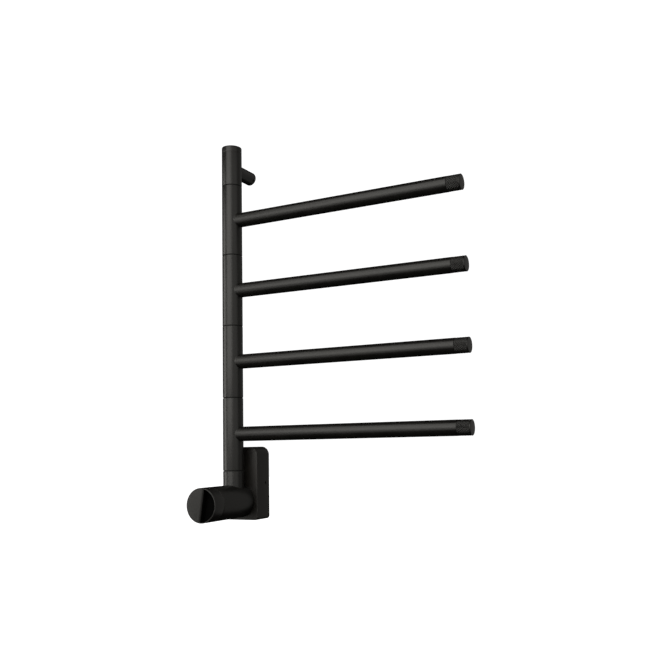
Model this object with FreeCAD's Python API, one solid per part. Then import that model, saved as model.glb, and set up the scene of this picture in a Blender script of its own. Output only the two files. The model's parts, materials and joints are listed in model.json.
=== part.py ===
"""Heated swivel towel rack: wall box, round housing with a turn knob, post, standoff and four swivel arms.

Millimetres. +X runs along the wall to the right, +Y into the wall, +Z up.
The wall's surface is y = 0 and the origin is the centre of the wall bracket's screw pattern.
"""
import FreeCAD
import Part
import math
import os

from FreeCAD import Placement, Rotation, Vector

os.makedirs("parts", exist_ok=True)

# ---------------------------------------------------------------- overall layout
POST_TO_BOX = 3.1           # gap between the post and the front of the wall box
ARM_PITCH = 114.8           # height of one swivel segment, joint to joint
ARM_REACH = 395.5           # post's axis to the end of an arm
REST_SWING = (1.8, 0.4, 0.0, 0.0)   # degrees each arm is swung out from the wall's line, top arm first
HOUSING_SILL = 4.1          # wall box's lower end up to the housing
FOOT_HEIGHT = 22.1          # top of the housing up to the lowest joint
TOP_LENGTH = 65.0           # top joint up to the top of the cap
STANDOFF_RISE = 29.5        # top joint up to the standoff's axis
KNOB_REACH = 84.6           # post's axis to the knob's front face

# ---------------------------------------------------------------- clearances
FIT = 0.05                  # between pieces that are screwed or pressed together
RUN = 0.05                  # radial, between a shaft and its bush
PLAY = 0.05                 # along an axis, between a moving and a fixed face
SLIP = 0.4                  # between the wall box and the bracket inside it

# ---------------------------------------------------------------- post
POST_R = 16.0
SLEEVE_WALL = 1.8
EDGE_BREAK = 0.3            # small chamfer on the ends of the sleeves
CORE_R = 9.0
CORE_WALL = 1.6
WASHER_T = 1.2              # thrust washer, seen as a dark line
WASHER_INSET = 1.1          # washer's edge behind the post's surface
PLATE_T = 3.0               # end plates inside the fixed sleeves
BUSH_H = 8.0
COLLAR_H = 5.0
LUG_H = 4.0
LUG_GAP = 0.4               # between a stop lug and the wall it passes
ARM_TRAVEL = 180.0          # degrees, from one side along the wall to the other
STOP_MARGIN = 0.5           # degrees left between two lugs at each end of a travel
LEAD_SLOT_R = 2.5           # hole in the core tube for an arm's leads
CAP_H = 9.7
CAP_SPIGOT = 8.0
CAP_CHAMFER = 0.8
WAVE_WASHER_T = 1.0
WAVE_WASHER_GAP = 1.2       # between the wave washer and the sleeve
TOP_NUT_H = 6.0
TOP_NUT_GAP = 0.35          # between the nut's corners and the sleeve

# ---------------------------------------------------------------- arms
ARM_R = 11.5
ARM_WALL = 1.5
TIP_LENGTH = 20.8
TIP_CHAMFER = 1.0
TIP_SPIGOT = 12.0
ARM_LEAD_R = 4.0            # hole from the arm into its sleeve
HEATER_R = 4.0
HEATER_FLANGE_T = 3.0
HEATER_INSET = 6.0          # the heater's flanges from the ends of the arm's bore

# ---------------------------------------------------------------- standoff
STANDOFF_R = 11.0
STANDOFF_WALL = 2.0
STANDOFF_PLUG = 10.0        # solid end that takes the screw from inside the post
STANDOFF_SCREW_R = 2.5
STANDOFF_SCREW_LENGTH = 8.0
SPIGOT_LENGTH = 16.0
SPIGOT_HOLE_R = 2.6
SPIGOT_HEAD_R = 5.0
SPIGOT_HEAD_DEPTH = 4.0
STANDOFF_GRUB_FROM_WALL = 5.5
STANDOFF_GRUB_ANGLE = -30.0     # below the horizontal, on the right

# ---------------------------------------------------------------- housing
HOUSING_R = 26.2
HOUSING_WALL = 3.0
HOUSING_CHAMFER = 0.6
BULKHEAD_T = 4.0
BULKHEAD_INSET = 2.0        # bulkhead behind the housing's front edge
RING_TO_SADDLE = 0.4        # between the rear ring and the saddle in front of it
REAR_RING_W = 7.2           # rear ring's width, the housing's own wall included
HOUSING_SCREW_R = 1.5
HOUSING_SCREW_COUNT = 3
SADDLE_RIM = 4.0            # saddle's edge outside the core tube
SADDLE_T = 6.0              # at its middle
LOCK_NUT_H = 4.0
LOCK_NUT_RIM = 3.0
CORE_TAIL = 2.0             # core tube below its lock nut

# ---------------------------------------------------------------- knob and regulator
KNOB_LENGTH = 22.5
KNOB_GAP = 0.6              # between knob and housing
KNOB_RIM = 1.4
KNOB_CHAMFER = 0.5
POCKET_DEPTH = 11.0
RIDGE_OFFSET = 1.3          # ridge edge right of the knob's axis
RIDGE_ROUND = 3.4           # rounding of the ridge edge
RIDGE_TILT = 8.6            # degrees clockwise, seen from the front
KNOB_BACK_RECESS = 4.0
KNOB_BACK_WALL = 3.0
KNOB_TRAVEL = 270.0         # degrees, clockwise from off
SHAFT_R = 3.0
SHAFT_FLAT = 0.5
SHAFT_TO_POCKET = 2.0       # metal left between the shaft's end and the pocket's floor
SHAFT_COLLAR_RIM = 3.0
SHAFT_COLLAR_T = 3.0
SHAFT_LUG_REACH = 3.0       # stop lug beyond the collar
SHAFT_LUG_DEGREES = 30.0
REGULATOR_W = 26.0
REGULATOR_FRONT_T = 3.0
REGULATOR_COVER_T = 12.0
REGULATOR_BUSH_WALL = 1.7
REGULATOR_BUSH_OUT = 4.5    # bush in front of the bulkhead
REGULATOR_NUT_T = 2.5
REGULATOR_NUT_RIM = 3.4     # nut's corners outside the bush
SET_SCREW_R = 1.5
SET_SCREW_LENGTH = 8.0

# ---------------------------------------------------------------- wall box and bracket
BOX_W = 63.6
BOX_H = 115.4
BOX_D = 35.3
BOX_WALL = 2.5
BOX_TOP_CORNER = 13.4
BOX_BOTTOM_CORNER = 5.2
BOX_EDGE = 0.6              # rounding of the front edge
BOX_LEAD_R = 12.0           # hole from the box into the housing
BRACKET_T = 2.5
BRACKET_HOLE_SPACING = 83.3
BRACKET_HOLE_R = 2.6
INLET_R = 10.0
LUG_DEPTH = 20.0            # far face of the bracket's lugs, from the wall
LUG_WIDTH = 30.0
LUG_THICKNESS = 4.0
GRUB_R = 2.0
GRUB_INSET = 1.0            # grub screws below the surface
GRUB_SOCKET_R = 0.9
GRUB_SOCKET_DEPTH = 1.6
GRUB_BITE = 2.5             # standoff's grub screw into the spigot
PAN_HEAD_WIDTH = 1.8        # pan head's radius over its screw's radius
PAN_HEAD_HEIGHT = 1.2       # and its height over the same
BOX_GRUB_FROM_WALL = 11.0
TERMINAL_W = 30.0
TERMINAL_H = 16.0
TERMINAL_D = 14.0
TERMINAL_Z = 22.0
TERMINAL_POLES = 3
TERMINAL_BORE_R = 2.0
TERMINAL_SCREW_R = 1.7

# ---------------------------------------------------------------- internal leads
LEAD_R = 2.0
LEAD_BEND = 14.0
LEAD_OFFSET = 4.5           # each lead beside the post's middle plane

# ---------------------------------------------------------------- worked out from the above
X = Vector(1, 0, 0)
Y = Vector(0, 1, 0)
Z = Vector(0, 0, 1)
ARM_COUNT = len(REST_SWING)
WALL_TO_POST = BOX_D + POST_TO_BOX + POST_R
POST_Y = -WALL_TO_POST
HOUSING_Z = HOUSING_SILL + HOUSING_R - BOX_H / 2
LOWEST_JOINT = HOUSING_Z + HOUSING_R + FOOT_HEIGHT
TOP_JOINT = LOWEST_JOINT + ARM_COUNT * ARM_PITCH
POST_TOP = TOP_JOINT + TOP_LENGTH
STANDOFF_Z = TOP_JOINT + STANDOFF_RISE
JOINT_HALF = WASHER_T / 2 + PLAY
SLEEVE_BORE = POST_R - SLEEVE_WALL
COLLAR_R = (CORE_R + SLEEVE_BORE) / 2
KNOB_R = HOUSING_R
SHAFT_COLLAR_R = SHAFT_R + SHAFT_COLLAR_RIM
SHAFT_LUG_R = SHAFT_COLLAR_R + SHAFT_LUG_REACH
REGULATOR_CAVITY_R = SHAFT_LUG_R + LUG_GAP
REGULATOR_BUSH_R = SHAFT_R + RUN + REGULATOR_BUSH_WALL
KNOB_FRONT = POST_Y - KNOB_REACH
KNOB_BACK = KNOB_FRONT + KNOB_LENGTH
HOUSING_FRONT = KNOB_BACK + KNOB_GAP
HOUSING_BACK = -BOX_D
BULKHEAD_FRONT = HOUSING_FRONT + BULKHEAD_INSET
BULKHEAD_BACK = BULKHEAD_FRONT + BULKHEAD_T
HOUSING_BORE = HOUSING_R - HOUSING_WALL
REAR_RING_BORE = HOUSING_R - REAR_RING_W
REAR_RING_T = POST_R + POST_TO_BOX - CORE_R - SADDLE_RIM - RING_TO_SADDLE
HOUSING_SCREW_CIRCLE = HOUSING_R - REAR_RING_W / 2
CORE_BORE = CORE_R - CORE_WALL
CORE_TOP = TOP_JOINT + JOINT_HALF + PLATE_T + WAVE_WASHER_T + TOP_NUT_H
SADDLE_BASE = HOUSING_Z + HOUSING_BORE - SADDLE_T
CORE_BASE = SADDLE_BASE - LOCK_NUT_H - CORE_TAIL
LUG_DEGREES = (360 - ARM_TRAVEL) / 2 - STOP_MARGIN
STOP_BLOCK_DEGREES = 360 - KNOB_TRAVEL - SHAFT_LUG_DEGREES - 2 * STOP_MARGIN
STOP_BLOCK_MIDDLE = -(SHAFT_LUG_DEGREES + STOP_BLOCK_DEGREES) / 2 - STOP_MARGIN


# ---------------------------------------------------------------- helpers
def rod(radius, length, base, axis):
    return Part.makeCylinder(radius, length, base, axis)


def pipe(outer, inner, length, base, axis):
    return rod(outer, length, base, axis).cut(rod(inner, length, base, axis))


def block(x0, x1, y0, y1, z0, z1):
    return Part.makeBox(x1 - x0, y1 - y0, z1 - z0, Vector(x0, y0, z0))


def on_post(z):
    return Vector(0, POST_Y, z)


def on_housing(y):
    return Vector(0, y, HOUSING_Z)


def turned(profile, centre, axis):
    """Solid of revolution of a closed list of points."""
    face = Part.Face(Part.makePolygon(profile + [profile[0]]))
    return face.revolve(centre, axis, 360)


def sector(outer, inner, height, width):
    """Part of a ring about +Z from z = 0 up, width degrees wide, with its middle on +X."""
    half = math.radians(width / 2)

    def corner(radius, angle):
        return Vector(radius * math.cos(angle), radius * math.sin(angle), 0)

    far = Part.Arc(corner(outer, -half), corner(outer, 0), corner(outer, half)).toShape()
    near = Part.Arc(corner(inner, half), corner(inner, 0), corner(inner, -half)).toShape()
    side = Part.makeLine(corner(outer, half), corner(inner, half))
    other = Part.makeLine(corner(inner, -half), corner(outer, -half))
    return Part.Face(Part.Wire([far, side, near, other])).extrude(Z * height)


def hex_nut(corner, bore, height, base, axis):
    """Nut whose corners lie at the radius corner."""
    angles = [math.radians(60 * i) for i in range(7)]
    outline = Part.makePolygon([Vector(corner * math.cos(a), corner * math.sin(a), 0) for a in angles])
    nut = Part.Face(outline).extrude(Z * height)
    nut = nut.cut(rod(bore, height, Vector(0, 0, 0), Z))
    nut.Placement = Placement(base, Rotation(Z, axis))
    return nut


def grub_screw(length, outer_end, inward):
    """Socket grub screw whose socket is at outer_end."""
    screw = rod(GRUB_R, length, outer_end, inward)
    return screw.cut(rod(GRUB_SOCKET_R, GRUB_SOCKET_DEPTH, outer_end, inward))


def pan_screw(radius, length, head_face, direction):
    """Screw whose head's underside is at head_face and whose shank runs along direction."""
    head = rod(radius * PAN_HEAD_WIDTH, radius * PAN_HEAD_HEIGHT, head_face, direction * -1)
    return head.fuse(rod(radius, length, head_face, direction))


def joint_z(index):
    """Height of a joint's middle, counted from the top joint."""
    return TOP_JOINT - index * ARM_PITCH


def arm_z(index):
    return joint_z(index) - ARM_PITCH / 2


def swung(shape, index):
    """Turn a shape made along +X about the post to its arm's rest angle."""
    turn = Placement(Vector(0, 0, 0), Rotation(Z, -REST_SWING[index]), on_post(0))
    shape.Placement = turn.multiply(shape.Placement)
    return shape


def save(name, shape):
    if not shape.isValid():
        print("NOT VALID", name)
    shape.exportStep("parts/" + name + ".step")


# ---------------------------------------------------------------- wall box and bracket
def box_outline(inset, depth):
    """Rounded rectangle, round at the top and tighter at the bottom, from the wall outwards."""
    half_w = BOX_W / 2 - inset
    half_h = BOX_H / 2 - inset
    top = max(BOX_TOP_CORNER - inset, 0.5)
    bottom = max(BOX_BOTTOM_CORNER - inset, 0.5)
    solid = block(-half_w, half_w, -depth, 0, -half_h, half_h)
    upright = [e for e in solid.Edges if abs(e.Length - depth) < 1e-6 and e.BoundBox.YLength > depth / 2]
    upper = [e for e in upright if e.BoundBox.Center.z > 0]
    lower = [e for e in upright if e.BoundBox.Center.z < 0]
    return solid.makeFillet(top, upper).makeFillet(bottom, lower)


def wall_box():
    outer = box_outline(0, BOX_D)
    front = [e for e in outer.Edges if abs(e.BoundBox.YMin + BOX_D) < 1e-6 and e.BoundBox.YLength < 1e-3]
    outer = outer.makeFillet(BOX_EDGE, front)
    shell = outer.cut(box_outline(BOX_WALL, BOX_D - BOX_WALL))
    shell = shell.cut(rod(BOX_LEAD_R, BOX_WALL, on_housing(-BOX_D), Y))
    for point in housing_screw_points(-BOX_D):
        shell = shell.cut(rod(HOUSING_SCREW_R + FIT, BOX_WALL, point, Y))
    for side in (-1, 1):
        start = Vector(side * BOX_W / 2, -BOX_GRUB_FROM_WALL, 0)
        shell = shell.cut(rod(GRUB_R + FIT, BOX_WALL, start, X * -side))
    return shell


def wall_bracket():
    plate = box_outline(BOX_WALL + SLIP, BRACKET_T)
    for side in (-1, 1):
        hole = Vector(0, -BRACKET_T, side * BRACKET_HOLE_SPACING / 2)
        plate = plate.cut(rod(BRACKET_HOLE_R, BRACKET_T, hole, Y))
    return plate.cut(rod(INLET_R, BRACKET_T, Vector(0, -BRACKET_T, 0), Y))


def bracket_lugs():
    """Threaded blocks that stand on the bracket, one at each side of the box."""
    outer = BOX_W / 2 - BOX_WALL - SLIP
    lugs = []
    for side in (-1, 1):
        near, far = sorted((side * outer, side * (outer - LUG_THICKNESS)))
        lug = block(near, far, -LUG_DEPTH, -BRACKET_T, -LUG_WIDTH / 2, LUG_WIDTH / 2)
        start = Vector(side * outer, -BOX_GRUB_FROM_WALL, 0)
        lugs.append(lug.cut(rod(GRUB_R + FIT, LUG_THICKNESS, start, X * -side)))
    return Part.makeCompound(lugs)


def box_grub_screws():
    length = BOX_WALL + SLIP + LUG_THICKNESS - GRUB_INSET
    screws = []
    for side in (-1, 1):
        end = Vector(side * (BOX_W / 2 - GRUB_INSET), -BOX_GRUB_FROM_WALL, 0)
        screws.append(grub_screw(length, end, X * -side))
    return Part.makeCompound(screws)


def pole_x(index):
    return (index - (TERMINAL_POLES - 1) / 2) * TERMINAL_W / TERMINAL_POLES


def terminal_block():
    z0 = TERMINAL_Z - TERMINAL_H / 2
    body = block(-TERMINAL_W / 2, TERMINAL_W / 2, -BRACKET_T - TERMINAL_D, -BRACKET_T, z0, z0 + TERMINAL_H)
    for index in range(TERMINAL_POLES):
        entry = Vector(pole_x(index), -BRACKET_T - TERMINAL_D / 2, z0)
        body = body.cut(rod(TERMINAL_BORE_R, TERMINAL_H, entry, Z))
        for level in (-1, 1):
            face = Vector(pole_x(index), -BRACKET_T - TERMINAL_D, TERMINAL_Z + level * TERMINAL_H / 4)
            body = body.cut(rod(TERMINAL_SCREW_R + FIT, TERMINAL_D / 2, face, Y))
    return body


def terminal_screws():
    length = TERMINAL_D / 2 - TERMINAL_BORE_R
    screws = []
    for index in range(TERMINAL_POLES):
        for level in (-1, 1):
            face = Vector(pole_x(index), -BRACKET_T - TERMINAL_D, TERMINAL_Z + level * TERMINAL_H / 4)
            screws.append(rod(TERMINAL_SCREW_R, length, face, Y))
    return Part.makeCompound(screws)


# ---------------------------------------------------------------- housing and control
def housing_screw_points(y):
    points = []
    for index in range(HOUSING_SCREW_COUNT):
        angle = math.radians(90 + 360 / HOUSING_SCREW_COUNT * (index + 0.5))
        offset = Vector(math.cos(angle), 0, math.sin(angle)) * HOUSING_SCREW_CIRCLE
        points.append(on_housing(y) + offset)
    return points


def housing():
    length = HOUSING_BACK - HOUSING_FRONT
    body = rod(HOUSING_R, length, on_housing(HOUSING_FRONT), Y)
    front_edge = [e for e in body.Edges if e.BoundBox.YMax < HOUSING_FRONT + HOUSING_CHAMFER]
    body = body.makeChamfer(HOUSING_CHAMFER, front_edge)
    body = body.cut(rod(HOUSING_BORE, length, on_housing(HOUSING_FRONT), Y))
    body = body.fuse(pipe(HOUSING_BORE, REGULATOR_BUSH_R + FIT, BULKHEAD_T, on_housing(BULKHEAD_FRONT), Y))
    ring_start = on_housing(HOUSING_BACK - REAR_RING_T)
    body = body.fuse(pipe(HOUSING_BORE, REAR_RING_BORE, REAR_RING_T, ring_start, Y))
    body = body.removeSplitter()
    for point in housing_screw_points(HOUSING_BACK - REAR_RING_T):
        body = body.cut(rod(HOUSING_SCREW_R + FIT, REAR_RING_T, point, Y))
    return body.cut(rod(CORE_R + FIT, HOUSING_R, on_post(HOUSING_Z), Z))


def housing_screws():
    screws = [pan_screw(HOUSING_SCREW_R, BOX_WALL + REAR_RING_T, point, Y * -1)
              for point in housing_screw_points(BOX_WALL - BOX_D)]
    return Part.makeCompound(screws)


def facing_front(y, clockwise):
    """Place a shape made about +Z on the knob's axis, from y back, its +X side clockwise from up."""
    lay_down = Rotation(X, -90)
    spin = Rotation(Y, clockwise - 90)
    return Placement(on_housing(y), spin.multiply(lay_down))


def regulator_depth():
    return REGULATOR_FRONT_T + 2 * PLAY + SHAFT_COLLAR_T


def regulator_body():
    """Front half: square block on the bulkhead with the threaded bush and the shaft's cavity."""
    half = REGULATOR_W / 2
    back = BULKHEAD_BACK + regulator_depth()
    body = block(-half, half, BULKHEAD_BACK, back, HOUSING_Z - half, HOUSING_Z + half)
    bush_start = on_housing(BULKHEAD_FRONT - REGULATOR_BUSH_OUT)
    body = body.fuse(rod(REGULATOR_BUSH_R, BULKHEAD_T + REGULATOR_BUSH_OUT, bush_start, Y))
    cavity_start = BULKHEAD_BACK + REGULATOR_FRONT_T
    body = body.cut(rod(REGULATOR_CAVITY_R, back - cavity_start, on_housing(cavity_start), Y))
    body = body.cut(rod(SHAFT_R + RUN, back - bush_start.y, bush_start, Y))
    stop_outer = (REGULATOR_CAVITY_R + REGULATOR_W / 2) / 2
    stop = sector(stop_outer, SHAFT_COLLAR_R + LUG_GAP, back - cavity_start, STOP_BLOCK_DEGREES)
    stop.Placement = facing_front(cavity_start, STOP_BLOCK_MIDDLE)
    return body.fuse(stop).removeSplitter()


def regulator_cover():
    half = REGULATOR_W / 2
    front = BULKHEAD_BACK + regulator_depth()
    return block(-half, half, front, front + REGULATOR_COVER_T, HOUSING_Z - half, HOUSING_Z + half)


def regulator_nut():
    base = on_housing(BULKHEAD_FRONT)
    corner = REGULATOR_BUSH_R + REGULATOR_NUT_RIM
    return hex_nut(corner, REGULATOR_BUSH_R + FIT, REGULATOR_NUT_T, base, Y * -1)


def knob():
    body = turned([Vector(0, 0, 0),
                   Vector(KNOB_R - KNOB_CHAMFER, 0, 0),
                   Vector(KNOB_R, 0, KNOB_CHAMFER),
                   Vector(KNOB_R, 0, KNOB_LENGTH - KNOB_CHAMFER),
                   Vector(KNOB_R - KNOB_CHAMFER, 0, KNOB_LENGTH),
                   Vector(0, 0, KNOB_LENGTH)], Vector(0, 0, 0), Z)
    recess_start = KNOB_LENGTH - KNOB_BACK_RECESS
    body = body.cut(rod(KNOB_R - KNOB_BACK_WALL, KNOB_BACK_RECESS, Z * recess_start, Z))
    pocket = rod(KNOB_R - KNOB_RIM, POCKET_DEPTH, Vector(0, 0, 0), Z)
    beside = block(-KNOB_R, KNOB_R, RIDGE_OFFSET, KNOB_R, 0, POCKET_DEPTH)
    body = body.cut(pocket.common(beside))
    ridge = [edge for edge in body.Edges if edge.Curve.TypeId == "Part::GeomLine" and edge.Length > KNOB_R
             and abs(edge.CenterOfMass.y - RIDGE_OFFSET) < FIT and abs(edge.CenterOfMass.z) < FIT]
    body = body.makeFillet(RIDGE_ROUND, ridge)
    shaft_end = POCKET_DEPTH + SHAFT_TO_POCKET
    body = body.cut(rod(SHAFT_R + FIT, recess_start - shaft_end, Z * shaft_end, Z))
    body = body.cut(rod(SET_SCREW_R + FIT, KNOB_R, Z * set_screw_depth(), X * -1))
    body.Placement = facing_front(KNOB_FRONT, RIDGE_TILT)
    return body


def set_screw_depth():
    """The set screw's axis behind the knob's front face, half way along the shaft's grip."""
    return (POCKET_DEPTH + SHAFT_TO_POCKET + KNOB_LENGTH - KNOB_BACK_RECESS) / 2


def knob_shaft():
    front = KNOB_FRONT + POCKET_DEPTH + SHAFT_TO_POCKET
    collar_start = BULKHEAD_BACK + REGULATOR_FRONT_T + PLAY
    length = collar_start + SHAFT_COLLAR_T - front
    shaft = rod(SHAFT_R, length, Vector(0, 0, 0), Z)
    grip = KNOB_BACK - KNOB_BACK_RECESS - front
    shaft = shaft.cut(block(-SHAFT_R, SHAFT_FLAT - SHAFT_R, -SHAFT_R, SHAFT_R, 0, grip))
    collar = rod(SHAFT_COLLAR_R, SHAFT_COLLAR_T, Z * (length - SHAFT_COLLAR_T), Z)
    lug = sector(SHAFT_LUG_R, SHAFT_R, SHAFT_COLLAR_T, SHAFT_LUG_DEGREES)
    lug.translate(Z * (length - SHAFT_COLLAR_T))
    shaft = shaft.fuse([collar, lug]).removeSplitter()
    shaft.Placement = facing_front(front, RIDGE_TILT)
    return shaft


def knob_set_screw():
    reach = SHAFT_R - SHAFT_FLAT
    screw = rod(SET_SCREW_R, SET_SCREW_LENGTH, Vector(-reach, 0, set_screw_depth()), X * -1)
    socket_start = Vector(-reach - SET_SCREW_LENGTH, 0, set_screw_depth())
    screw = screw.cut(rod(SET_SCREW_R / 2, GRUB_SOCKET_DEPTH, socket_start, X))
    screw.Placement = facing_front(KNOB_FRONT, RIDGE_TILT)
    return screw


# ---------------------------------------------------------------- internal leads
def bent_lead(start, corner, end):
    """Round lead from start to end with one tangent arc at the corner."""
    first = (start - corner).normalize()
    second = (end - corner).normalize()
    enter = corner + first * LEAD_BEND
    leave = corner + second * LEAD_BEND
    centre = enter + second * LEAD_BEND
    middle = centre + (corner - centre).normalize() * LEAD_BEND
    path = Part.Wire([Part.makeLine(start, enter), Part.Arc(enter, middle, leave).toShape(),
                      Part.makeLine(leave, end)])
    ring = Part.Wire(Part.makeCircle(LEAD_R, start, first))
    return path.makePipeShell([ring], True, False)


def internal_leads():
    back = BULKHEAD_BACK + regulator_depth() + REGULATOR_COVER_T
    terminal_y = -BRACKET_T - TERMINAL_D / 2
    supply = bent_lead(Vector(-LEAD_OFFSET, terminal_y, TERMINAL_Z - TERMINAL_H / 2),
                       Vector(-LEAD_OFFSET, terminal_y, HOUSING_Z),
                       Vector(-LEAD_OFFSET, back, HOUSING_Z))
    mast = bent_lead(Vector(LEAD_OFFSET, POST_Y, arm_z(0)),
                     Vector(LEAD_OFFSET, POST_Y, HOUSING_Z),
                     Vector(LEAD_OFFSET, back, HOUSING_Z))
    return Part.makeCompound([supply, mast])


# ---------------------------------------------------------------- post
def sleeve(bottom, top):
    """Segment of the post's skin with a small chamfer at each end."""
    points = [(SLEEVE_BORE, bottom), (POST_R - EDGE_BREAK, bottom), (POST_R, bottom + EDGE_BREAK),
              (POST_R, top - EDGE_BREAK), (POST_R - EDGE_BREAK, top), (SLEEVE_BORE, top)]
    return turned([on_post(z) + X * r for r, z in points], on_post(0), Z)


def end_plate(z):
    """Plate inside a fixed sleeve, clamped round the core tube."""
    return pipe(SLEEVE_BORE, CORE_R + FIT, PLATE_T, on_post(z), Z)


def lower_sleeve():
    top = LOWEST_JOINT - JOINT_HALF
    body = sleeve(HOUSING_Z, top).fuse(end_plate(top - PLATE_T)).removeSplitter()
    return body.cut(rod(HOUSING_R, 4 * POST_R, on_housing(POST_Y - 2 * POST_R), Y))


def core_tube():
    body = pipe(CORE_R, CORE_BORE, CORE_TOP - CORE_BASE, on_post(CORE_BASE), Z)
    for index in range(ARM_COUNT):
        body = body.cut(rod(LEAD_SLOT_R, CORE_R, on_post(arm_z(index)), Y * -1))
    return body


def core_saddle():
    """Washer whose upper face lies against the housing's bore."""
    radius = CORE_R + SADDLE_RIM
    body = rod(radius, SADDLE_T, on_post(SADDLE_BASE), Z)
    body = body.common(rod(HOUSING_BORE, 4 * radius, on_housing(POST_Y - 2 * radius), Y))
    return body.cut(rod(CORE_R + FIT, SADDLE_T, on_post(SADDLE_BASE), Z))


def core_lock_nut():
    return pipe(CORE_R + LOCK_NUT_RIM, CORE_R + FIT, LOCK_NUT_H, on_post(SADDLE_BASE - LOCK_NUT_H), Z)


def thrust_washer(index):
    base = on_post(joint_z(index) - WASHER_T / 2)
    return pipe(POST_R - WASHER_INSET, CORE_R + FIT, WASHER_T, base, Z)


def lug_base(index):
    """Top of a swivel segment's lower bush, where its stop lug starts."""
    return joint_z(index + 1) + JOINT_HALF + BUSH_H


def stop_collar(index):
    """Collar fixed on the core, with a lug on the wall's side that hangs beside the arm's own lug."""
    bottom = lug_base(index) + LUG_GAP
    collar = pipe(COLLAR_R, CORE_R + FIT, COLLAR_H, on_post(bottom + LUG_H), Z)
    lug = sector(SLEEVE_BORE - LUG_GAP, CORE_R + FIT, LUG_H + COLLAR_H, LUG_DEGREES)
    lug.Placement = Placement(on_post(bottom), Rotation(Z, LUG_DEGREES + STOP_MARGIN))
    return collar.fuse(lug).removeSplitter()


def top_sleeve():
    bottom = TOP_JOINT + JOINT_HALF
    body = sleeve(bottom, POST_TOP - CAP_H).fuse(end_plate(bottom)).removeSplitter()
    return body.cut(rod(STANDOFF_SCREW_R + FIT, POST_R, on_post(STANDOFF_Z), Y))


def wave_washer():
    base = on_post(TOP_JOINT + JOINT_HALF + PLATE_T)
    return pipe(SLEEVE_BORE - WAVE_WASHER_GAP, CORE_R + FIT, WAVE_WASHER_T, base, Z)


def top_nut():
    base = on_post(CORE_TOP - TOP_NUT_H)
    return hex_nut(SLEEVE_BORE - TOP_NUT_GAP, CORE_R + FIT, TOP_NUT_H, base, Z)


def top_cap():
    seat = POST_TOP - CAP_H
    spigot = SLEEVE_BORE - FIT
    points = [(0, seat - CAP_SPIGOT), (spigot, seat - CAP_SPIGOT), (spigot, seat),
              (POST_R - EDGE_BREAK, seat), (POST_R, seat + EDGE_BREAK),
              (POST_R, POST_TOP - CAP_CHAMFER), (POST_R - CAP_CHAMFER, POST_TOP), (0, POST_TOP)]
    return turned([on_post(z) + X * r for r, z in points], on_post(0), Z)


# ---------------------------------------------------------------- standoff
def standoff_tube():
    inner = STANDOFF_R - STANDOFF_WALL
    plug_end = POST_R + STANDOFF_PLUG
    body = rod(STANDOFF_R, WALL_TO_POST, on_post(STANDOFF_Z), Y)
    body = body.cut(rod(inner, WALL_TO_POST - plug_end, Vector(0, POST_Y + plug_end, STANDOFF_Z), Y))
    body = body.cut(rod(POST_R, 4 * STANDOFF_R, on_post(STANDOFF_Z - 2 * STANDOFF_R), Z))
    thread_length = POST_R + STANDOFF_SCREW_LENGTH
    body = body.cut(rod(STANDOFF_SCREW_R + FIT, thread_length, on_post(STANDOFF_Z), Y))
    surface, inward = standoff_grub_line()
    return body.cut(rod(GRUB_R + FIT, STANDOFF_WALL + GRUB_BITE, surface, inward))


def standoff_grub_line():
    """Point on the standoff's surface over its grub screw, and the direction to the axis."""
    angle = math.radians(STANDOFF_GRUB_ANGLE)
    outward = Vector(math.cos(angle), 0, math.sin(angle))
    axis_point = Vector(0, -STANDOFF_GRUB_FROM_WALL, STANDOFF_Z)
    return axis_point + outward * STANDOFF_R, outward * -1


def standoff_screw():
    """Pan-head screw from inside the post; its head's rim sits against the sleeve's bore."""
    head_r = STANDOFF_SCREW_R * PAN_HEAD_WIDTH
    seat = POST_Y + math.sqrt(SLEEVE_BORE ** 2 - head_r ** 2) - FIT
    length = POST_Y + POST_R + STANDOFF_SCREW_LENGTH - seat
    return pan_screw(STANDOFF_SCREW_R, length, Vector(0, seat, STANDOFF_Z), Y)


def standoff_spigot():
    """Plug screwed to the wall; the standoff slides over it."""
    radius = STANDOFF_R - STANDOFF_WALL - FIT
    front = Vector(0, -SPIGOT_LENGTH, STANDOFF_Z)
    body = rod(radius, SPIGOT_LENGTH, front, Y)
    body = body.cut(rod(SPIGOT_HOLE_R, SPIGOT_LENGTH, front, Y))
    body = body.cut(rod(SPIGOT_HEAD_R, SPIGOT_HEAD_DEPTH, front, Y))
    surface, inward = standoff_grub_line()
    return body.cut(rod(GRUB_R + FIT, STANDOFF_WALL + GRUB_BITE, surface, inward))


def standoff_grub_screw():
    surface, inward = standoff_grub_line()
    return grub_screw(STANDOFF_WALL + GRUB_BITE - GRUB_INSET, surface + inward * GRUB_INSET, inward)


# ---------------------------------------------------------------- arms
def arm_sleeve(index):
    body = sleeve(joint_z(index + 1) + JOINT_HALF, joint_z(index) - JOINT_HALF)
    return body.cut(rod(ARM_LEAD_R, POST_R, on_post(arm_z(index)), X))


def arm_tube(index):
    end = ARM_REACH - TIP_LENGTH
    body = pipe(ARM_R, ARM_R - ARM_WALL, end, on_post(arm_z(index)), X)
    return body.cut(rod(POST_R, 4 * ARM_R, on_post(arm_z(index) - 2 * ARM_R), Z))


def arm_tip(index):
    spigot = ARM_R - ARM_WALL - FIT
    start = ARM_REACH - TIP_LENGTH
    points = [(0, start - TIP_SPIGOT), (spigot, start - TIP_SPIGOT), (spigot, start), (ARM_R, start),
              (ARM_R, ARM_REACH - TIP_CHAMFER), (ARM_R - TIP_CHAMFER, ARM_REACH), (0, ARM_REACH)]
    centre = on_post(arm_z(index))
    return turned([centre + Vector(x, 0, r) for r, x in points], centre, X)


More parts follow.
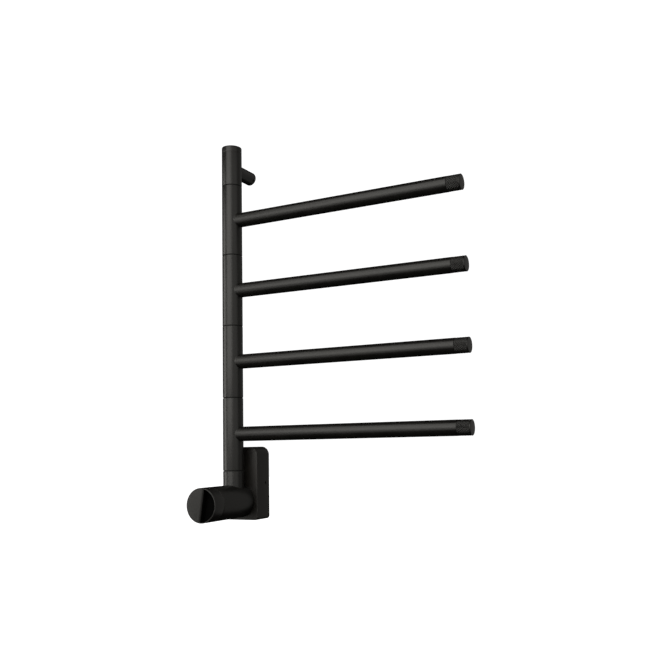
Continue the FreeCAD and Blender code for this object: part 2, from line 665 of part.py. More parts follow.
def arm_heater(index):
    """Heating rod with a centring flange at each end."""
    start = POST_R + HEATER_INSET
    end = ARM_REACH - TIP_LENGTH - TIP_SPIGOT - HEATER_INSET
    flange = ARM_R - ARM_WALL - FIT
    centre = on_post(arm_z(index))
    body = rod(HEATER_R, end - start, centre + X * start, X)
    first = rod(flange, HEATER_FLANGE_T, centre + X * (start + HEATER_INSET), X)
    last = rod(flange, HEATER_FLANGE_T, centre + X * (end - HEATER_INSET), X)
    return body.fuse([first, last]).removeSplitter()


def bush_ring(bottom):
    return pipe(SLEEVE_BORE - FIT, CORE_R + RUN, BUSH_H, on_post(bottom), Z)


def upper_bush(index):
    return bush_ring(joint_z(index) - JOINT_HALF - BUSH_H)


def lower_bush(index):
    """Bush with the arm's stop lug on top, under the arm itself."""
    body = bush_ring(lug_base(index) - BUSH_H)
    lug = sector(SLEEVE_BORE - LUG_GAP, CORE_R + LUG_GAP, LUG_H, LUG_DEGREES)
    lug.translate(on_post(lug_base(index)))
    return body.fuse(lug).removeSplitter()


# ---------------------------------------------------------------- write every piece
FIXED = (wall_bracket, bracket_lugs, wall_box, box_grub_screws, terminal_block, terminal_screws, housing,
         housing_screws, regulator_body, regulator_cover, regulator_nut, internal_leads, lower_sleeve,
         core_tube, core_saddle, core_lock_nut, wave_washer, top_nut, top_sleeve, top_cap, standoff_tube,
         standoff_screw, standoff_spigot, standoff_grub_screw)
KNOB = (knob, knob_shaft, knob_set_screw)
ARM = {"sleeve": arm_sleeve, "tube": arm_tube, "tip": arm_tip, "heater": arm_heater,
       "upper_bush": upper_bush, "lower_bush": lower_bush}

for make in FIXED + KNOB:
    save(make.__name__, make())
for number in range(ARM_COUNT + 1):
    save("thrust_washer_%d" % (number + 1), thrust_washer(number))
for number in range(ARM_COUNT):
    save("stop_collar_%d" % (number + 1), stop_collar(number))
    for piece, make in ARM.items():
        save("arm_%d_%s" % (number + 1, piece), swung(make(number), number))
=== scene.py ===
"""Heated swivel towel rack in satin black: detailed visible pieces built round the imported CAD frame.

Metres, in the frame's own axes: +X along the wall, +Y into the wall, +Z up.
"""
import json
import math

import bmesh
import bpy
from mathutils import Matrix, Vector


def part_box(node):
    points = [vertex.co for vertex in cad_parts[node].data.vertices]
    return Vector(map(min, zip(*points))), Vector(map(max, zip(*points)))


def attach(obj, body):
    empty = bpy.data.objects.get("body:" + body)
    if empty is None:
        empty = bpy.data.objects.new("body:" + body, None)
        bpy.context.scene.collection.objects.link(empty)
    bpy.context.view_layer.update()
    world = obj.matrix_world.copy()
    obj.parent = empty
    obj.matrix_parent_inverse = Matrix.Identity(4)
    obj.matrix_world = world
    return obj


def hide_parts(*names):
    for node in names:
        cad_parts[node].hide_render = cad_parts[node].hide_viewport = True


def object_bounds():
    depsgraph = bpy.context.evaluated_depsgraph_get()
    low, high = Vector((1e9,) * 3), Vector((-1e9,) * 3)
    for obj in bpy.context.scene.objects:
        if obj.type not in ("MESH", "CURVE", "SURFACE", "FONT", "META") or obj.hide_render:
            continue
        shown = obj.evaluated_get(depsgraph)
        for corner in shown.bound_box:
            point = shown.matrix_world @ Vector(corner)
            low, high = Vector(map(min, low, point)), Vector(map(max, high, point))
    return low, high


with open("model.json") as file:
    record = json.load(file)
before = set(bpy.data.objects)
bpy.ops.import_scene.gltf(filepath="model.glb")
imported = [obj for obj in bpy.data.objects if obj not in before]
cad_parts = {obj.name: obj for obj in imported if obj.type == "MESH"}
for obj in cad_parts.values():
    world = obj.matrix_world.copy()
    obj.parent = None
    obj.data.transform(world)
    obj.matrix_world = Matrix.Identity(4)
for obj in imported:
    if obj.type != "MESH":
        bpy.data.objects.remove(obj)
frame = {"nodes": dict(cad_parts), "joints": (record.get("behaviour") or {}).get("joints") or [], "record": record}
cad_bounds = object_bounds()

MM = 0.001
X = Vector((1, 0, 0))
Y = Vector((0, 1, 0))
Z = Vector((0, 0, 1))
ARMS = (1, 2, 3, 4)

# ------------------------------------------------------------------ camera and room
CAMERA_AT = Vector((0.7332, -1.1191, 0.0591))
CAMERA_YAW = math.radians(24.88)        # turned left from looking straight at the wall
CAMERA_PITCH = math.radians(5.30)
CAMERA_ROLL = math.radians(-1.21)
CAMERA_LENS = 44.37                     # millimetres
CAMERA_SENSOR = 36                      # its width in millimetres
CAMERA_SHIFT = (-0.0675, 0.0679)
FLOOR_BELOW = 0.25                      # floor under the lowest point of the rack
FLOOR_SIZE = 14.0
FLOOR_GLOW = 1.3
BACKDROP = 1.1                          # brightness of the white room as the camera sees it
AMBIENT = 0.01                          # and as light on the rack
LIGHT_TARGET = Vector((0.1, -0.06, 0.24))
LIGHT_AWAY = 1.7
LIGHT_COLOUR = (1.0, 0.98, 0.93)
AMBIENT_COLOUR = (1, 0.98, 0.94, 1)

# ------------------------------------------------------------------ fine shape
SHARP = math.radians(32)                # edges that turn more than this are shaded sharp
MERGE_WITHIN = 1e-7                     # points nearer than this become one
FINE = 128                              # segments round the post and the housing
TUBE_STEPS = 96                         # segments round an arm or the standoff
HOLE_STEPS = 48
ROUND_STEPS = 4                         # steps in a rounded corner
SLEEVE_EDGE = 0.35 * MM                 # rounding at the ends of the post's segments
CAP_EDGE = 0.8 * MM
WELD = 0.35 * MM                        # fillet where one tube meets another
TUBE_EDGE = 0.15 * MM                   # rounding of an arm's tube where the tip starts
TIP_LAND = 1.6 * MM                     # plain band at the end of a knurled tip
LAND_SLOPE = 0.3 * MM                   # length of the slope from the grooves up to that band
LAND_EDGE = 0.2 * MM
TIP_EDGE = 1.0 * MM
KNURL_STARTS = 20
KNURL_PITCH = 3.8 * MM
KNURL_DEPTH = 0.65 * MM
KNURL_FLAT = 0.1                        # share of a diamond that stays flat on top
KNURL_STEPS = 8                         # mesh steps in one diamond
KNOB_EDGE = 0.6 * MM                    # rounding of the knob's face
KNOB_BACK_EDGE = 0.25 * MM
HOUSING_EDGE = 1.0 * MM
BOX_EDGE = 0.7 * MM
POCKET_STEPS = 48
RIDGE_ROUND = 3.4 * MM                  # rounding of the grip's edge over the pocket
RIDGE_STEPS = 6
PAINTED_SHADE_FROM = 0.7                         # share of that rounding's depth where the pocket's painted shade starts
POCKET_MARGIN = 0.1 * MM                # slack when a face of the pocket is told from the others
TOOL_OUTSIDE = 5 * MM                   # reach of the pocket's tool in front of the knob

# ------------------------------------------------------------------ sizes that the CAD boxes don't give
HOUSING_WALL = 3 * MM
PLUG_INSET = 2 * MM                     # the housing's plug behind its front edge
KNOB_WALL = 3 * MM                      # round the hollow in the knob's back
KNOB_RECESS = 4 * MM                    # depth of that hollow
KNOB_RIM = 1.4 * MM                     # metal left round the pocket
RIDGE_OFFSET = 1.3 * MM                 # the pocket's straight side, right of the knob's centre
POCKET_DEPTH = 11 * MM
BOX_TOP_ROUND = 13.4 * MM
BOX_BOTTOM_ROUND = 5.2 * MM
BOX_ROUND_STEPS = 16
BOX_WALL = 2.5 * MM
GRUB_HOLE_R = 2.05 * MM
STANDOFF_HOLE = (-2 * MM, 6 * MM)       # start and end, outward from the standoff's grub screw
BOX_HOLE = (-4 * MM, 2 * MM)            # start and end, outward from the box's side

# ------------------------------------------------------------------ fine texture
POWDER_SCALE = 2600.0
PEEL_SCALE = 420.0
PATCH_SCALE = 38.0
COATING_DEPTH = 0.000012
GLOSS_SPREAD = 0.025
MOULDED_SCALE = 900.0
MOULDED_DEPTH = 0.00002
MOULDED_SPREAD = 0.05
TOOL_MARK_SCALE = 700.0
TOOL_MARK_STRETCH = (1, 1, 12)
TOOL_MARK_DEPTH = 0.00001
TOOL_MARK_SPREAD = 0.08
PLATING_SCALE = 60.0
COLOUR_BAND = (0.35, 0.65)              # noise levels between which a colour changes
VALUE_BAND = (0.3, 0.7)                 # and a single value


# ------------------------------------------------------------------ what the frame says
def centre(node):
    low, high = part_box(node)
    return (low + high) / 2


def span(node, direction, origin):
    """Least and greatest distance of a CAD node's points from origin along direction."""
    reach = [(v.co - origin).dot(direction) for v in frame["nodes"][node].data.vertices]
    return min(reach), max(reach)


def distances(node, origin, axis):
    """Distances of a CAD node's points from the line through origin along axis."""
    away = [v.co - origin for v in frame["nodes"][node].data.vertices]
    return [(d - axis * d.dot(axis)).length for d in away]


def farthest(node, origin, axis):
    return max(distances(node, origin, axis))


def nearest(node, origin, axis):
    return min(distances(node, origin, axis))


CORE = centre("core_tube")
POST_AXIS = Vector((CORE.x, CORE.y, 0))
POST_R = farthest("top_cap", POST_AXIS, Z)
POST_BORE = nearest("arm_4_sleeve", POST_AXIS, Z)
HOUSING_AXIS = Vector((0, 0, centre("knob").z))
HOUSING_R = farthest("housing", HOUSING_AXIS, Y)
STANDOFF_AXIS = Vector((POST_AXIS.x, 0, centre("standoff_tube").z))
STANDOFF_R = farthest("standoff_tube", STANDOFF_AXIS, Y)
BOX_LOW, BOX_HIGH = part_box("wall_box")


def joint(name):
    return next(j for j in frame["joints"] if j["name"] == name)


def arm_direction(number):
    """Where an arm points at rest: turned away from the wall by its joint's upper limit."""
    angle = -math.radians(joint("arm_%d_swivel" % number)["range_deg"][1])
    return Vector((math.cos(angle), math.sin(angle), 0))


# ------------------------------------------------------------------ mesh helpers
def finish_mesh(name, bm):
    """Turns built faces into a smooth-shaded object with sharp edges where it turns sharply."""
    bmesh.ops.remove_doubles(bm, verts=bm.verts, dist=MERGE_WITHIN)
    bmesh.ops.recalc_face_normals(bm, faces=bm.faces)
    mesh = bpy.data.meshes.new(name)
    bm.to_mesh(mesh)
    bm.free()
    mesh.shade_smooth()
    mesh.set_sharp_from_angle(angle=SHARP)
    piece = bpy.data.objects.new(name, mesh)
    bpy.context.scene.collection.objects.link(piece)
    return piece


def bridge(bm, rings):
    """Joins each ring of points to the next one by a band of faces."""
    for ring, other in zip(rings, rings[1:]):
        for i in range(len(ring)):
            k = (i + 1) % len(ring)
            bm.faces.new((ring[i], ring[k], other[k], other[i]))


def rounded(corners):
    """Points (radius, along) of a profile; a corner written (radius, along, size) is rounded by size."""
    points = []
    count = len(corners)
    for i, corner in enumerate(corners):
        here = Vector(corner[:2])
        if len(corner) == 2:
            points.append(here)
            continue
        before = (Vector(corners[i - 1][:2]) - here).normalized() * corner[2]
        after = (Vector(corners[(i + 1) % count][:2]) - here).normalized() * corner[2]
        for step in range(ROUND_STEPS + 1):
            t = step / ROUND_STEPS
            points.append(here + before * (1 - t) ** 2 + after * t ** 2)
    return points


def lathe(name, origin, axis, side, profile_at, segments, diagonal=None):
    """Closed loop of (radius, along) points swept round an axis; profile_at(angle) gives the loop.

    diagonal(i, j) may say how the face between steps i, i + 1 and points j, j + 1 is split.
    """
    up = axis.cross(side)
    bm = bmesh.new()
    rings = []
    for i in range(segments):
        angle = 2 * math.pi * i / segments
        out = side * math.cos(angle) + up * math.sin(angle)
        rings.append([bm.verts.new(origin + axis * along + out * radius)
                      for radius, along in profile_at(angle)])
    for i, ring in enumerate(rings):
        other = rings[(i + 1) % segments]
        for j in range(len(ring)):
            k = (j + 1) % len(ring)
            quad = (ring[j], other[j], other[k], ring[k])
            split = diagonal(i, j) if diagonal else None
            if split is None:
                bm.faces.new(quad)
            elif split:
                bm.faces.new((quad[0], quad[1], quad[2]))
                bm.faces.new((quad[0], quad[2], quad[3]))
            else:
                bm.faces.new((quad[0], quad[1], quad[3]))
                bm.faces.new((quad[1], quad[2], quad[3]))
    return finish_mesh(name, bm)


def fillet(surface, radius):
    """Profile points of a weld fillet from the surface it stands on up onto a tube of that radius."""
    points = []
    for step in range(ROUND_STEPS + 1):
        t = step / ROUND_STEPS
        out = WELD * (1 - t) ** 2
        points.append(Vector((radius + out, surface(radius + out) + WELD * t ** 2)))
    return points


def cut(piece, tools):
    """Takes the tool objects out of a piece and shades it again."""
    for tool in tools:
        change = piece.modifiers.new("cut", "BOOLEAN")
        change.operation = "DIFFERENCE"
        change.solver = "EXACT"
        change.object = tool
    bpy.context.view_layer.update()
    shape = piece.evaluated_get(bpy.context.evaluated_depsgraph_get())
    mesh = bpy.data.meshes.new_from_object(shape)
    piece.modifiers.clear()
    piece.data = mesh
    for tool in tools:
        bpy.data.objects.remove(tool)
    mesh.shade_smooth()
    mesh.set_sharp_from_angle(angle=SHARP)
    return piece


def pin(origin, axis, radius, start, end):
    """Plain cylinder used to cut a hole."""
    side = axis.orthogonal().normalized()
    return lathe("tool", origin, axis, side,
                 lambda angle: [(0, start), (radius, start), (radius, end), (0, end)], HOLE_STEPS)


# ------------------------------------------------------------------ materials
def material(name, colour, roughness, **sockets):
    made = bpy.data.materials.new(name)
    made.use_nodes = True
    shader = made.node_tree.nodes["Principled BSDF"]
    shader.inputs["Base Color"].default_value = (*colour, 1)
    shader.inputs["Roughness"].default_value = roughness
    for socket, value in sockets.items():
        shader.inputs[socket.replace("_", " ")].default_value = value
    return made


def add_noise(made, scale, detail, stretch=(1, 1, 1)):
    nodes, links = made.node_tree.nodes, made.node_tree.links
    place = nodes.new("ShaderNodeTexCoord")
    mapping = nodes.new("ShaderNodeMapping")
    mapping.inputs["Scale"].default_value = stretch
    noise = nodes.new("ShaderNodeTexNoise")
    noise.inputs["Scale"].default_value = scale
    noise.inputs["Detail"].default_value = detail
    links.new(place.outputs["Object"], mapping.inputs["Vector"])
    links.new(mapping.outputs["Vector"], noise.inputs["Vector"])
    return noise


def vary(made, noise, socket, low, high):
    """Drives a shader socket from a noise, between two values or two colours."""
    nodes, links = made.node_tree.nodes, made.node_tree.links
    shader = nodes["Principled BSDF"]
    if isinstance(low, tuple):
        ramp = nodes.new("ShaderNodeValToRGB")
        for element, position, colour in zip(ramp.color_ramp.elements, COLOUR_BAND, (low, high)):
            element.position = position
            element.color = (*colour, 1)
        links.new(noise.outputs["Fac"], ramp.inputs["Fac"])
        links.new(ramp.outputs["Color"], shader.inputs[socket])
        return
    spread = nodes.new("ShaderNodeMapRange")
    spread.inputs["From Min"].default_value = VALUE_BAND[0]
    spread.inputs["From Max"].default_value = VALUE_BAND[1]
    spread.inputs["To Min"].default_value = low
    spread.inputs["To Max"].default_value = high
    links.new(noise.outputs["Fac"], spread.inputs["Value"])
    links.new(spread.outputs["Result"], shader.inputs[socket])


def bump(made, noises, distance):
    """Adds the noises up into one bump of that depth."""
    nodes, links = made.node_tree.nodes, made.node_tree.links
    relief = nodes.new("ShaderNodeBump")
    relief.inputs["Distance"].default_value = distance
    relief.inputs["Strength"].default_value = 1.0
    height = noises[0].outputs["Fac"]
    for noise in noises[1:]:
        add = nodes.new("ShaderNodeMath")
        add.operation = "ADD"
        links.new(height, add.inputs[0])
        links.new(noise.outputs["Fac"], add.inputs[1])
        height = add.outputs["Value"]
    links.new(height, relief.inputs["Height"])
    links.new(relief.outputs["Normal"], nodes["Principled BSDF"].inputs["Normal"])


def satin_black(name, roughness=0.33, grain=1.0, tint=(0.0064, 0.0060, 0.0054), ior=1.5):
    """Satin black coating: fine powder texture, faint orange peel and slightly uneven gloss."""
    made = material(name, tint, roughness, IOR=ior)
    powder = add_noise(made, POWDER_SCALE, 2.0)
    peel = add_noise(made, PEEL_SCALE, 2.0)
    patches = add_noise(made, PATCH_SCALE, 4.0)
    light = tuple(1.25 * c for c in tint)
    dark = tuple(0.8 * c for c in tint)
    vary(made, patches, "Base Color", dark, light)
    vary(made, patches, "Roughness", roughness - GLOSS_SPREAD, roughness + GLOSS_SPREAD)
    bump(made, [powder, peel], COATING_DEPTH * grain)
    return made


def plastic(name, colour, roughness, **sockets):
    """Moulded or matt surface with an even fine grain."""
    made = material(name, colour, roughness, IOR=1.46, **sockets)
    grain = add_noise(made, MOULDED_SCALE, 3.0)
    dark = tuple(0.85 * c for c in colour)
    light = tuple(1.15 * c for c in colour)
    vary(made, grain, "Base Color", dark, light)
    vary(made, grain, "Roughness", roughness - MOULDED_SPREAD, roughness + MOULDED_SPREAD)
    bump(made, [grain], MOULDED_DEPTH)
    return made


def bare_metal(name, colour, roughness):
    """Turned or plated metal with fine tool marks."""
    made = material(name, colour, roughness, Metallic=1.0)
    marks = add_noise(made, TOOL_MARK_SCALE, 4.0, TOOL_MARK_STRETCH)
    clouds = add_noise(made, PLATING_SCALE, 3.0)
    dark = tuple(0.82 * c for c in colour)
    light = tuple(min(1.0, 1.1 * c) for c in colour)
    vary(made, clouds, "Base Color", dark, light)
    vary(made, marks, "Roughness", roughness - TOOL_MARK_SPREAD, roughness + TOOL_MARK_SPREAD)
    bump(made, [marks], TOOL_MARK_DEPTH)
    return made


MATERIALS = {
    "post_black": satin_black("post_black"),
    "cap_black": satin_black("cap_black"),
    "arm_black": satin_black("arm_black"),
    "tip_black": satin_black("tip_black", 0.36, 0.6),
    "standoff_black": satin_black("standoff_black", 0.38),
    "housing_black": satin_black("housing_black", 0.38),
    "knob_black": satin_black("knob_black", 0.38),
    # painted shade: near-black matt material with weak reflection, put on the knob's deep pocket in place of the
    # shadow inside it
    "pocket_painted_shade": plastic("pocket_painted_shade", (0.0008, 0.0008, 0.0008), 0.85, Specular_IOR_Level=0.08),
    "box_black": satin_black("box_black", 0.42, 1.3, (0.0078, 0.0066, 0.0054), 1.46),
    "screw_black": satin_black("screw_black", 0.5, 1.0, (0.003, 0.003, 0.003)),
    "joint_washer": plastic("joint_washer", (0.004, 0.004, 0.004), 0.8),
    "bush_polymer": plastic("bush_polymer", (0.5, 0.48, 0.43), 0.5),
    "insulator": plastic("insulator", (0.7, 0.68, 0.6), 0.45),
    "lead_sheath": plastic("lead_sheath", (0.25, 0.04, 0.03), 0.5),
    "zinc_steel": bare_metal("zinc_steel", (0.6, 0.61, 0.62), 0.35),
    "inner_steel": bare_metal("inner_steel", (0.5, 0.5, 0.5), 0.4),
    "brass": bare_metal("brass", (0.7, 0.52, 0.24), 0.35)}


def dress(piece, *names):
    """Gives a piece its materials, in the order of the material numbers on its faces."""
    while len(piece.data.materials) < len(names):
        piece.data.materials.append(None)
    for i, name in enumerate(names):
        piece.data.materials[i] = MATERIALS[name]
    return piece


def stand_for(piece, body, node, *more):
    """Puts a finished piece on its body in place of its CAD node."""
    slot_name = next(s["material_slot"] for s in frame["record"]["subparts"] if s["node"] == node)
    dress(piece, slot_name, *more)
    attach(piece, body)
    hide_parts(node)


# ------------------------------------------------------------------ post
def plain_sleeve(node):
    """Segment of the post's skin, an open tube without the holes and plates inside it."""
    low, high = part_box(node)
    profile = rounded([(POST_BORE, low.z), (POST_R, low.z, SLEEVE_EDGE),
                       (POST_R, high.z, SLEEVE_EDGE), (POST_BORE, high.z)])
    return lathe(node + "_skin", POST_AXIS, Z, X, lambda angle: profile, FINE)


def foot_sleeve():
    """Lowest segment, welded onto the round top of the housing, without its inner plate."""
    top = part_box("lower_sleeve")[1].z

    def profile(angle):
        def on_housing(radius):
            return HOUSING_AXIS.z + math.sqrt(HOUSING_R ** 2 - (radius * math.cos(angle)) ** 2)

        loop = [Vector((POST_BORE, on_housing(POST_BORE)))] + fillet(on_housing, POST_R)
        return loop + rounded([(POST_R, on_housing(POST_R) + WELD), (POST_R, top, SLEEVE_EDGE),
                               (POST_BORE, top)])[1:]

    return lathe("lower_sleeve_skin", POST_AXIS, Z, X, profile, FINE)


def top_cap():
    low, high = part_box("top_cap")
    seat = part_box("top_sleeve")[1].z
    profile = rounded([(0, low.z), (POST_BORE, low.z), (POST_BORE, seat), (POST_R, seat, SLEEVE_EDGE),
                       (POST_R, high.z, CAP_EDGE), (0, high.z)])
    return lathe("top_cap_skin", POST_AXIS, Z, X, lambda angle: profile, FINE)


def standoff():
    """Tube from the post's back to the wall, with the hole of its grub screw but not the long screw's."""
    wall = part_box("standoff_tube")[1].y
    bore = farthest("standoff_spigot", STANDOFF_AXIS, Y)
    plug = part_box("standoff_screw")[1].y

    def profile(angle):
        def on_post(radius):
            return POST_AXIS.y + math.sqrt(POST_R ** 2 - (radius * math.cos(angle)) ** 2)

        loop = [Vector((0, on_post(0)))] + fillet(on_post, STANDOFF_R)
        return loop + rounded([(STANDOFF_R, on_post(STANDOFF_R) + WELD), (STANDOFF_R, wall, SLEEVE_EDGE),
                               (bore, wall), (bore, plug), (0, plug)])[1:]

    tube = lathe("standoff_tube_skin", STANDOFF_AXIS, Y, X, profile, TUBE_STEPS)
    screw = centre("standoff_grub_screw")
    outward = (screw - Vector((STANDOFF_AXIS.x, screw.y, STANDOFF_AXIS.z))).normalized()
    return cut(tube, [pin(screw, outward, GRUB_HOLE_R, *STANDOFF_HOLE)])


# ------------------------------------------------------------------ arms
def arm_frame(number):
    """Point where an arm's axis meets the post's, its direction, and the level direction across it."""
    direction = arm_direction(number)
    origin = Vector((POST_AXIS.x, POST_AXIS.y, centre("arm_%d_tube" % number).z))
    return origin, direction, direction.cross(Z)


def arm_tube(number):
    """Arm's tube, welded onto the round post; its bore is as wide as the heater's flanges."""
    origin, direction, side = arm_frame(number)
    node = "arm_%d_tube" % number
    radius = farthest(node, origin, direction)
    bore = farthest("arm_%d_heater" % number, origin, direction)
    end = span(node, direction, origin)[1]

    def profile(angle):
        def on_post(r):
            return math.sqrt(POST_R ** 2 - (r * math.cos(angle)) ** 2)

        loop = [Vector((bore, on_post(bore)))] + fillet(on_post, radius)
        return loop + rounded([(radius, on_post(radius) + WELD), (radius, end, TUBE_EDGE),
                               (bore, end)])[1:]

    return lathe(node + "_skin", origin, direction, side, profile, TUBE_STEPS)


def groove(turns):
    """0 half way between two grooves and 1 in a groove, for a position counted in grooves."""
    return abs(2 * (turns % 1) - 1)


def arm_tip(number):
    """End piece with a diamond knurl and a plain rounded end."""
    origin, direction, side = arm_frame(number)
    node = "arm_%d_tip" % number
    radius = farthest(node, origin, direction)
    spigot = farthest("arm_%d_heater" % number, origin, direction)
    start = span("arm_%d_tube" % number, direction, origin)[1]
    low, end = span(node, direction, origin)
    land = end - TIP_LAND
    step = KNURL_PITCH / KNURL_STEPS
    rows = int((land - start) / step)
    begin = land - rows * step
    lead_in = 4                         # points of the loop before the first one of the knurl

    def depth(turns, row):
        u = turns + row / KNURL_STEPS
        v = turns - row / KNURL_STEPS
        deep = max(groove(u), groove(v))
        return KNURL_DEPTH * max(0.0, deep - KNURL_FLAT) / (1 - KNURL_FLAT)

    def profile(angle):
        turns = KNURL_STARTS * angle / (2 * math.pi)
        loop = [Vector((0, low)), Vector((spigot, low)), Vector((spigot, start))]
        loop.append(Vector((radius - KNURL_DEPTH, start)))
        loop += [Vector((radius - depth(turns, row), begin + row * step)) for row in range(rows)]
        loop.append(Vector((radius - KNURL_DEPTH, land)))
        return loop + rounded([(radius - KNURL_DEPTH, land), (radius, land + LAND_SLOPE, LAND_EDGE),
                               (radius, end, TIP_EDGE), (0, end)])[1:]

    def diagonal(i, j):
        row = j - lead_in
        if not 0 <= row < rows - 1:
            return None
        turns = (i + 0.5) / KNURL_STEPS
        shift = (row + 0.5) / KNURL_STEPS
        return groove(turns + shift) < groove(turns - shift)

    segments = KNURL_STARTS * KNURL_STEPS
    return lathe(node + "_knurled", origin, direction, side, profile, segments, diagonal)


# ------------------------------------------------------------------ housing and knob
def housing():
    """Round tube with a solid plug that reaches to the regulator's back; it has no hole for the shaft."""
    front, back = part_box("housing")[0].y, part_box("housing")[1].y
    plug_front, plug_back = front + PLUG_INSET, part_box("regulator_body")[1].y
    bore = HOUSING_R - HOUSING_WALL
    profile = rounded([(0, plug_back), (0, plug_front), (bore, plug_front), (bore, front),
                       (HOUSING_R, front, HOUSING_EDGE), (HOUSING_R, back), (bore, back),
                       (bore, plug_back)])
    return lathe("housing_skin", HOUSING_AXIS, Y, X, lambda angle: profile, FINE)


def knob():
    """Round knob whose face is flat on the left and hollowed out in a half moon on the right.

    It has no holes for its shaft and its set screw.
    """
    front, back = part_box("knob")[0].y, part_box("knob")[1].y
    radius = farthest("knob", HOUSING_AXIS, Y)
    hollow, recess = radius - KNOB_WALL, back - KNOB_RECESS
    profile = rounded([(0, front), (radius, front, KNOB_EDGE), (radius, back, KNOB_BACK_EDGE),
                       (hollow, back), (hollow, recess), (0, recess)])
    body = lathe("knob_body", HOUSING_AXIS, Y, X, lambda angle: profile, FINE)
    rim = radius - KNOB_RIM
    body = cut(body, [pocket_tool(rim, front)])
    painted_shade_start = front + PAINTED_SHADE_FROM * RIDGE_ROUND
    painted_shade_end = front + POCKET_DEPTH + POCKET_MARGIN
    # painted shade: faces deep in the pocket take material 1, near-black in place of the pocket's shadow
    for face in body.data.polygons:
        away = (face.center - HOUSING_AXIS).cross(Y).length
        if away < rim + POCKET_MARGIN and painted_shade_start < face.center.y < painted_shade_end:
            face.material_index = 1
    return body


def pocket_tool(rim, front):
    """Half-moon prism right of the ridge line, which leans clockwise by the knob's rest angle.

    Its ridge side flares out towards the face, which leaves a rounded edge on the knob.
    """
    lean = -math.radians(joint("knob_turn")["range_deg"][0])
    up = Vector((math.sin(lean), 0, math.cos(lean)))
    right = Vector((math.cos(lean), 0, -math.sin(lean)))

    def half_moon(side, y):
        reach = math.acos(side / rim)
        arc = [reach * (1 - 2 * i / POCKET_STEPS) for i in range(POCKET_STEPS + 1)]
        return [HOUSING_AXIS + Y * y + right * rim * math.cos(a) + up * rim * math.sin(a) for a in arc]

    levels = [(RIDGE_OFFSET - RIDGE_ROUND, front - TOOL_OUTSIDE)]
    for step in range(RIDGE_STEPS + 1):
        a = math.radians(90 * step / RIDGE_STEPS)
        flare = RIDGE_ROUND * (1 - math.sin(a))
        levels.append((RIDGE_OFFSET - flare, front + RIDGE_ROUND * (1 - math.cos(a))))
    levels.append((RIDGE_OFFSET, front + POCKET_DEPTH))
    bm = bmesh.new()
    rings = [[bm.verts.new(p) for p in half_moon(side, y)] for side, y in levels]
    bm.faces.new(rings[0])
    bm.faces.new(rings[-1])
    bridge(bm, rings)
    return finish_mesh("tool", bm)


# ------------------------------------------------------------------ wall box
def outline(inset, y):
    """Rounded rectangle of the wall box at depth y, inset from its sides."""
    points = []
    corners = ((1, 1, BOX_TOP_ROUND, 0), (-1, 1, BOX_TOP_ROUND, 90),
               (-1, -1, BOX_BOTTOM_ROUND, 180), (1, -1, BOX_BOTTOM_ROUND, 270))
    for across, up, radius, start in corners:
        r = radius - inset
        x = (BOX_HIGH.x - inset - r) if across > 0 else (BOX_LOW.x + inset + r)
        z = (BOX_HIGH.z - inset - r) if up > 0 else (BOX_LOW.z + inset + r)
        for step in range(BOX_ROUND_STEPS + 1):
            a = math.radians(start + 90 * step / BOX_ROUND_STEPS)
            points.append(Vector((x + r * math.cos(a), y, z + r * math.sin(a))))
    return points


def wall_box():
    """Shell with the two grub screws' holes in its sides, but none in its front."""
    levels = [(BOX_WALL, BOX_HIGH.y), (0, BOX_HIGH.y)]
    for step in range(ROUND_STEPS + 1):
        a = math.radians(90 * step / ROUND_STEPS)
        levels.append((BOX_EDGE * (1 - math.cos(a)), BOX_LOW.y + BOX_EDGE * (1 - math.sin(a))))
    bm = bmesh.new()
    rings = [[bm.verts.new(p) for p in outline(inset, y)] for inset, y in levels]
    inner = [bm.verts.new(p) for p in outline(BOX_WALL, BOX_LOW.y + BOX_WALL)]
    rings.insert(0, inner)
    bridge(bm, rings)
    bm.faces.new(inner)
    bm.faces.new(rings[-1])
    box = finish_mesh("wall_box_shell", bm)
    low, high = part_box("box_grub_screws")
    middle = Vector((0, (low.y + high.y) / 2, (low.z + high.z) / 2))
    start, end = (BOX_HIGH.x + reach for reach in BOX_HOLE)
    return cut(box, [pin(middle, X * side, GRUB_HOLE_R, start, end) for side in (-1, 1)])


# ------------------------------------------------------------------ build
for n in ARMS:
    stand_for(plain_sleeve("arm_%d_sleeve" % n), "arm_%d" % n, "arm_%d_sleeve" % n)
stand_for(plain_sleeve("top_sleeve"), "mast", "top_sleeve")
stand_for(foot_sleeve(), "mast", "lower_sleeve")
stand_for(top_cap(), "mast", "top_cap")
stand_for(standoff(), "mast", "standoff_tube")
stand_for(housing(), "mast", "housing")
stand_for(wall_box(), "mast", "wall_box")
# the knob's second material is the pocket's painted shade
stand_for(knob(), "knob", "knob", "pocket_painted_shade")
for n in ARMS:
    stand_for(arm_tube(n), "arm_%d" % n, "arm_%d_tube" % n)
    stand_for(arm_tip(n), "arm_%d" % n, "arm_%d_tip" % n)
for part in frame["record"]["subparts"]:
    dress(frame["nodes"][part["node"]], part["material_slot"])


# ------------------------------------------------------------------ room, light and camera
def softbox(name, azimuth, elevation, width, height, radiance):
    """Rectangular panel that faces the rack; azimuth 0 is straight in front, positive to the right."""
    a, e = math.radians(azimuth), math.radians(elevation)
    away = Vector((math.sin(a) * math.cos(e), -math.cos(a) * math.cos(e), math.sin(e)))
    lamp = bpy.data.lights.new(name, "AREA")
    lamp.shape = "RECTANGLE"
    lamp.size = width
    lamp.size_y = height
    lamp.energy = radiance * math.pi * width * height
    lamp.color = LIGHT_COLOUR
    holder = bpy.data.objects.new(name, lamp)
    holder.location = LIGHT_TARGET + away * LIGHT_AWAY
    holder.rotation_euler = (-away).to_track_quat("-Z", "Y").to_euler()
    holder.visible_camera = False
    bpy.context.scene.collection.objects.link(holder)


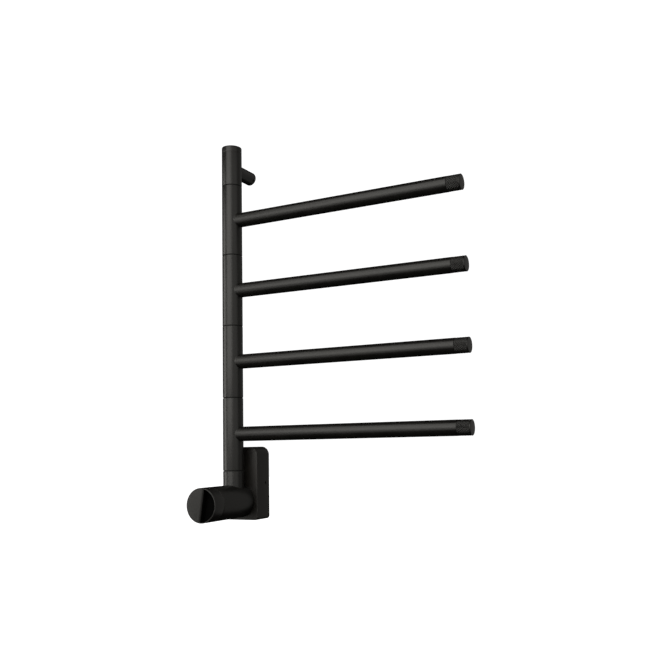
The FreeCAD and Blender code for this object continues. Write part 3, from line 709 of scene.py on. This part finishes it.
def room():
    """White floor and world: bright to the camera, and almost no light on the rack."""
    bm = bmesh.new()
    half = FLOOR_SIZE / 2
    level = cad_bounds[0][2] - FLOOR_BELOW
    corners = ((-half, -half), (half, -half), (half, half), (-half, half))
    bm.faces.new([bm.verts.new((x, y, level)) for x, y in corners])
    floor = finish_mesh("floor", bm)
    pale = material("pale_floor", (0.85, 0.85, 0.85), 0.9)
    shader = pale.node_tree.nodes["Principled BSDF"]
    shader.inputs["Emission Color"].default_value = (1, 1, 1, 1)
    shader.inputs["Emission Strength"].default_value = FLOOR_GLOW
    floor.data.materials.append(pale)
    floor.visible_glossy = False
    floor.visible_diffuse = False
    world = bpy.data.worlds.new("studio")
    world.use_nodes = True
    nodes, links = world.node_tree.nodes, world.node_tree.links
    seen = nodes["Background"]
    seen.inputs["Color"].default_value = (1, 1, 1, 1)
    seen.inputs["Strength"].default_value = BACKDROP
    fill = nodes.new("ShaderNodeBackground")
    fill.inputs["Color"].default_value = AMBIENT_COLOUR
    fill.inputs["Strength"].default_value = AMBIENT
    path = nodes.new("ShaderNodeLightPath")
    choose = nodes.new("ShaderNodeMixShader")
    links.new(path.outputs["Is Camera Ray"], choose.inputs["Fac"])
    links.new(fill.outputs["Background"], choose.inputs[1])
    links.new(seen.outputs["Background"], choose.inputs[2])
    links.new(choose.outputs["Shader"], nodes["World Output"].inputs["Surface"])
    bpy.context.scene.world = world


def camera():
    toward = Vector((-math.sin(CAMERA_YAW) * math.cos(CAMERA_PITCH),
                     math.cos(CAMERA_YAW) * math.cos(CAMERA_PITCH), math.sin(CAMERA_PITCH)))
    level = Vector((math.cos(CAMERA_YAW), math.sin(CAMERA_YAW), 0))
    upright = level.cross(toward)
    right = level * math.cos(CAMERA_ROLL) + upright * math.sin(CAMERA_ROLL)
    up = upright * math.cos(CAMERA_ROLL) - level * math.sin(CAMERA_ROLL)
    lens = bpy.data.cameras.new("camera")
    lens.lens = CAMERA_LENS
    lens.sensor_width = CAMERA_SENSOR
    lens.shift_x, lens.shift_y = CAMERA_SHIFT
    lens.clip_start = 0.01
    eye = bpy.data.objects.new("camera", lens)
    turn = Matrix((right, up, -toward)).transposed().to_4x4()
    eye.matrix_world = Matrix.Translation(CAMERA_AT) @ turn
    bpy.context.scene.collection.objects.link(eye)
    bpy.context.scene.camera = eye


room()
camera()
softbox("front_panel", -7.5, 11, 1.9, 1.0, 2.25)
softbox("upper_panel", -7.5, 44, 1.4, 1.1, 1.8)
softbox("low_panel", -15, -18, 2.4, 0.6, 0.75)
softbox("left_panel", -67.5, 0, 0.9, 1.45, 2.4)
softbox("right_panel", 58, 10, 2.4, 2.2, 0.67)
softbox("back_panel", 142, 4, 3.0, 3.2, 0.21)
bpy.context.scene.view_settings.view_transform = "Standard"
